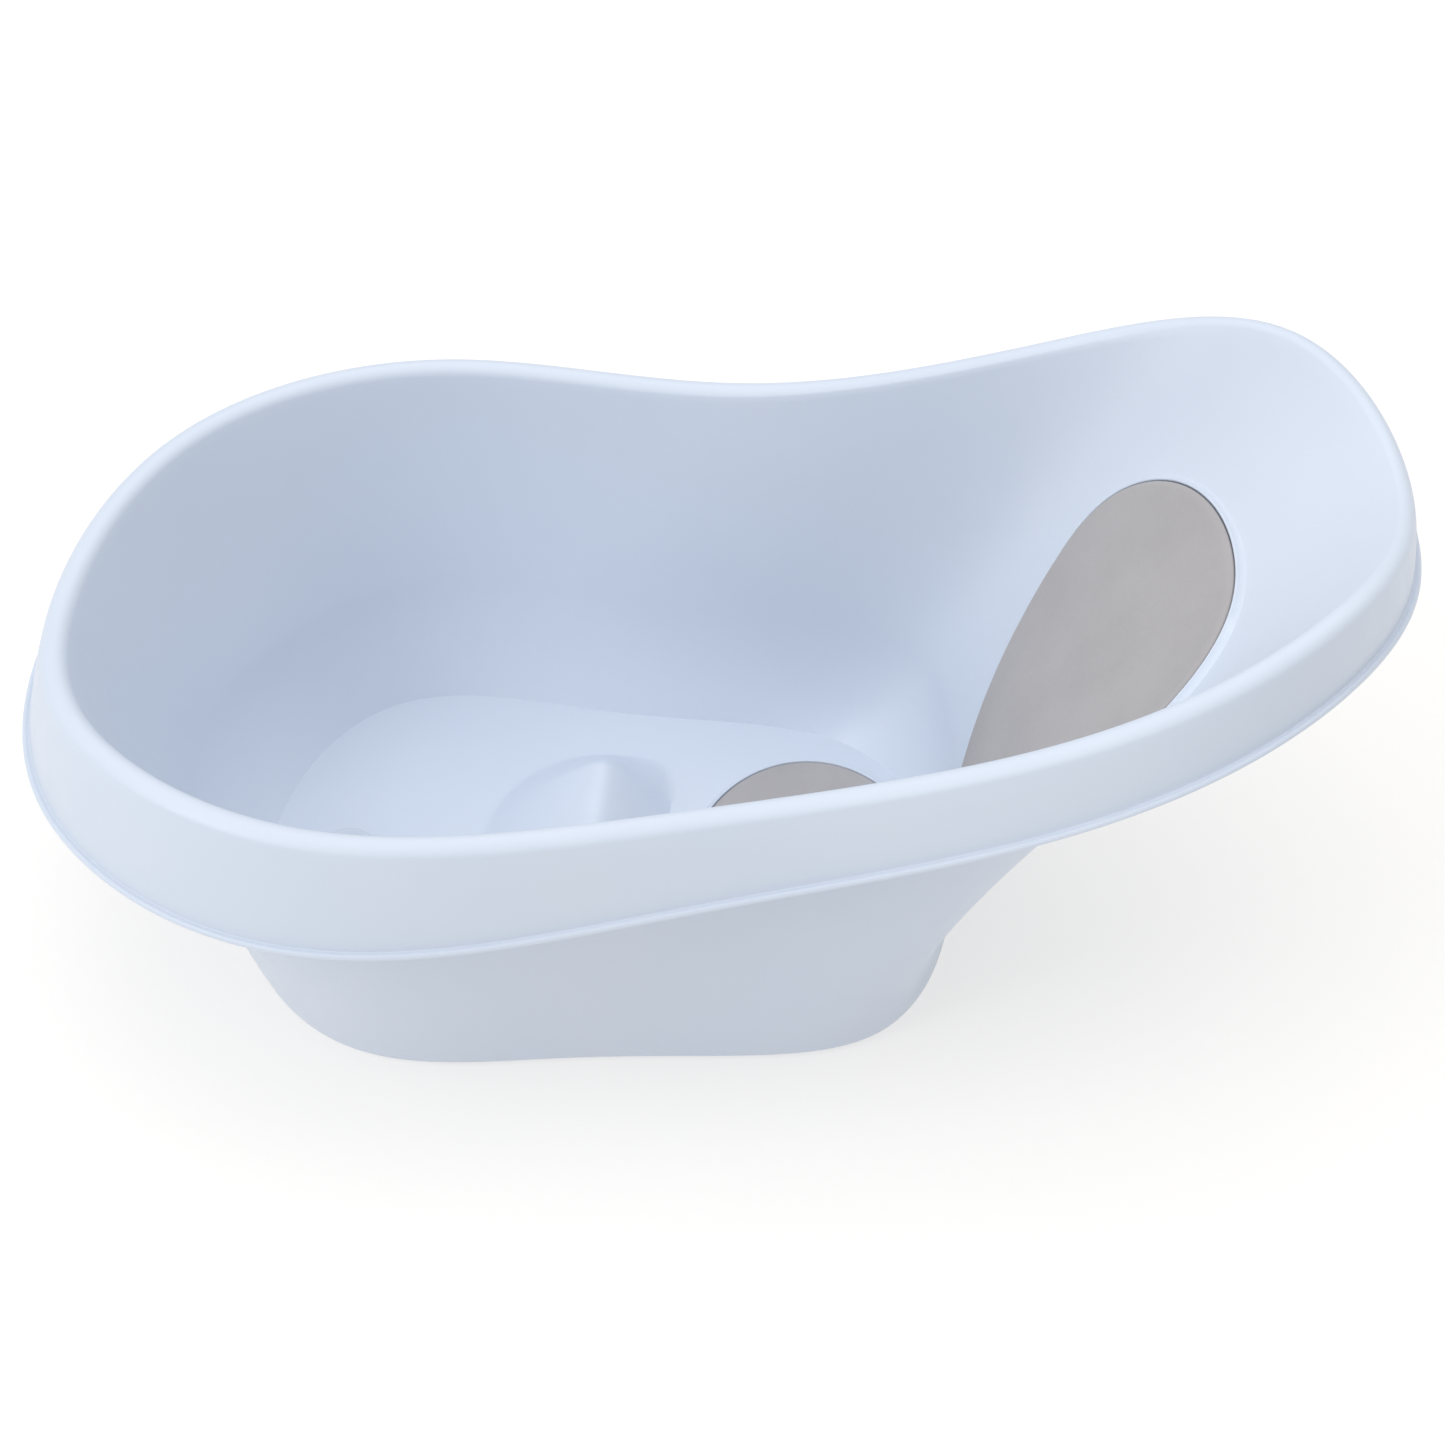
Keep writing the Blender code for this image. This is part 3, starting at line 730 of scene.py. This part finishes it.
def leg_bar(name, place, look):
    """Leg: round eye, waisted bar, a sunk panel on each face and a hole for the pin."""
    first = math.atan2(place.across[1], place.across[0])
    points = []
    for turn in np.linspace(0.0, math.pi, 25):
        way = np.array([math.cos(first + turn), math.sin(first + turn)])
        points.append(place.pivot + LEG_EYE_RADIUS * way)
    half = 0.5 * LEG_THICKNESS
    for along, across in ((5.0, -half - 1.2), (10.0, -half), (place.bar_end, -half + 0.6),
                          (place.bar_end, half - 0.6), (10.0, half), (5.0, half + 1.2)):
        points.append(place.at(along, across))
    bar = plate(name, points, place.y, LEG_WIDTH, look, 0.8)
    for face in (-1.0, 1.0):
        for row in (-1.0, 1.0):
            edges = [place.at(16.0, face * (half - 1.6)), place.at(place.bar_end - 8.0, face * (half - 2.0)),
                     place.at(place.bar_end - 8.0, face * (half + 3.0)), place.at(16.0, face * (half + 3.0))]
            panel = plate("leg_panel_tool", edges, place.y + row * 5.4, 8.4, look, 0.7)
            combine(bar, panel, "DIFFERENCE")
    hole = turned("leg_hole_tool", drill_profile(PIN_RADIUS + PIN_GAP, DRILL),
                  (place.pivot[0], place.y, place.pivot[1]), look, "Y", 40)
    combine(bar, hole, "DIFFERENCE")
    return bar


def leg_tip(name, place, look):
    """Rubber tip with three grip grooves across its sole."""
    half = 0.5 * LEG_THICKNESS
    start = place.bar_end + PIN_GAP
    points = [place.at(start, half), place.at(start, -half),
              place.at(place.length, -half), place.at(place.length, half)]
    tip = plate(name, points, place.y, LEG_WIDTH, look, 0.9)
    for row in (-8.0, 0.0, 8.0):
        groove = [place.at(place.length - 0.7, half + 1), place.at(place.length - 0.7, -half - 1),
                  place.at(place.length + 1, -half - 1), place.at(place.length + 1, half + 1)]
        combine(tip, plate("groove_tool", groove, place.y + row, 1.6, look), "DIFFERENCE")
    return tip


def leg_pin(name, place, look):
    """Hinge pin with a shallow domed head at each end."""
    reach = 0.5 * LEG_WIDTH + 0.4 + EAR_THICKNESS
    half = [(PIN_RADIUS, 0.0), (PIN_RADIUS, reach + 0.1), (4.0, reach + 0.1), (4.0, reach + 0.5),
            (3.4, reach + 0.9), (1.8, reach + 1.15), (0.0, reach + 1.25)]
    profile = [(radius, -height) for radius, height in reversed(half)] + half[1:]
    return turned(name, profile, (place.pivot[0], place.y, place.pivot[1]), look, "Y", 48)


def leg_ears(form, place, look, tub):
    """Two ears that carry one leg, joined to the outside of the tub."""
    gap = 0.5 * LEG_WIDTH + 0.4 + 0.5 * EAR_THICKNESS
    for ear_y in (place.y - gap, place.y + gap):
        climbs = np.linspace(LEG_WALL_HEIGHT - 0.09, LEG_WALL_HEIGHT + 0.09, 9)
        wall = form.side_profile(ear_y, form.outer_ring, climbs)
        slope = wall[-1] - wall[0]
        slope /= np.linalg.norm(slope)
        root = wall + np.array([-slope[1], slope[0]]) * EAR_SINK
        first = math.atan2(slope[1], slope[0])
        arc = [place.pivot + EAR_RADIUS * np.array([math.cos(first - turn), math.sin(first - turn)])
               for turn in np.linspace(0.0, math.pi, 25)]
        ear = plate("leg_ear_tool", list(root) + arc, ear_y, EAR_THICKNESS, look, 0.6)
        hole = turned("ear_hole_tool", drill_profile(PIN_RADIUS + PIN_GAP, 1.5 * EAR_THICKNESS),
                      (place.pivot[0], ear_y, place.pivot[1]), look, "Y", 40)
        combine(ear, hole, "DIFFERENCE")
        combine(tub, ear, "UNION")


# ---------------------------------------------------------------- light and camera

def area_light(name, place, aim, size, power):
    """Square soft light at a place in metres, aimed at a point."""
    data = bpy.data.lights.new(name, "AREA")
    data.shape = "SQUARE"
    data.size = size
    data.energy = power
    made = bpy.data.objects.new(name, data)
    made.location = place
    made.rotation_euler = (Vector(aim) - Vector(place)).to_track_quat("-Z", "Y").to_euler()
    bpy.context.collection.objects.link(made)


def studio():
    """White floor, even white surroundings, a soft key from the upper left and a top light."""
    far = 6000
    corners = [(-far, -far, 0), (far, -far, 0), (far, far, 0), (-far, far, 0)]
    floor = add_mesh("studio_floor", corners, [(0, 1, 2, 3)], white_floor())
    world = bpy.data.worlds.new("studio_white")
    world.use_nodes = True
    background = world.node_tree.nodes["Background"]
    background.inputs["Color"].default_value = (1.0, 1.0, 1.0, 1.0)
    background.inputs["Strength"].default_value = 0.6
    bpy.context.scene.world = world
    area_light("top_light", (0.1, 0.2, 2.2), (0.0, 0.0, 0.0), 3.6, 38.0)
    area_light("key_light", (-1.9, -1.3, 1.9), (0.0, 0.0, 0.1), 1.5, 22.0)
    bpy.context.scene.view_settings.view_transform = "Standard"


def camera():
    """View from in front, turned a little to the side and well above the rim."""
    turn, tilt, distance = math.radians(4.52), math.radians(40.13), 1.458
    target = Vector((0.006, 0.0, 0.115))
    back = Vector((math.sin(turn) * math.cos(tilt), -math.cos(turn) * math.cos(tilt), math.sin(tilt)))
    data = bpy.data.cameras.new("camera")
    data.lens = 67.39
    data.sensor_width = 36.0
    data.shift_x = 0.0062
    data.shift_y = -0.0018
    made = bpy.data.objects.new("camera", data)
    made.location = target + back * distance
    made.rotation_euler = (-back).to_track_quat("-Z", "Y").to_euler()
    bpy.context.collection.objects.link(made)
    bpy.context.scene.camera = made


# ---------------------------------------------------------------- assembly

def stands_for(piece, node, body):
    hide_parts(node)
    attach(piece, body)


def main():
    camera()
    studio()
    blue = moulded_plastic("pale_blue_plastic", (0.625, 0.685, 0.785), (0.605, 0.67, 0.775), 0.34, 0.46)
    white = moulded_plastic("pale_plug_plastic", (0.60, 0.655, 0.75), (0.57, 0.63, 0.73), 0.35, 0.5)
    grey = moulded_plastic("hinge_pin_plastic", (0.50, 0.55, 0.62), (0.46, 0.51, 0.58), 0.35, 0.5)
    foam, dark = soft_foam(), rubber()

    form = TubForm(AROUND)
    tub = tub_moulding(form, blue)
    rough_form = TubForm(COARSE_AROUND)
    joints = {joint["child"]: joint for joint in frame["record"]["behaviour"]["joints"]}
    for side in ("left", "right"):
        place = LegPlace(rough_form, joints[side + "_leg"])
        leg_ears(rough_form, place, blue, tub)
        body = side + "_leg"
        stands_for(leg_bar("leg_bar_" + side, place, blue), "leg_" + side, body)
        stands_for(leg_tip("leg_tip_sole_" + side, place, dark), "leg_tip_" + side, body)
        stands_for(leg_pin("hinge_pin_" + side, place, grey), "leg_pin_" + side, "tub")
    stands_for(tub, "tub_shell", "tub")

    head = HeadWall(rough_form)
    count = 144
    for name, node, loop, gap in (("backrest_cushion", "backrest_pad", head.loop, BACKREST_GAP),
                                  ("seat_cushion", "seat_pad", seat_loop, PAD_GAP)):
        cushion = crowned_pad(name, loop, gap, foam, count)
        stands_for(cushion, node, "tub")
        lip = recess_lip(name + "_lip", loop, blue, count)
        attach(lip, "tub")

    stands_for(drain_stopper(white), "drain_plug", "plug")
    for corner in ("front_left", "front_right", "rear_left", "rear_right"):
        piece = rubber_foot("rubber_foot_" + corner, "foot_" + corner, dark)
        stands_for(piece, "foot_" + corner, "tub")


main()
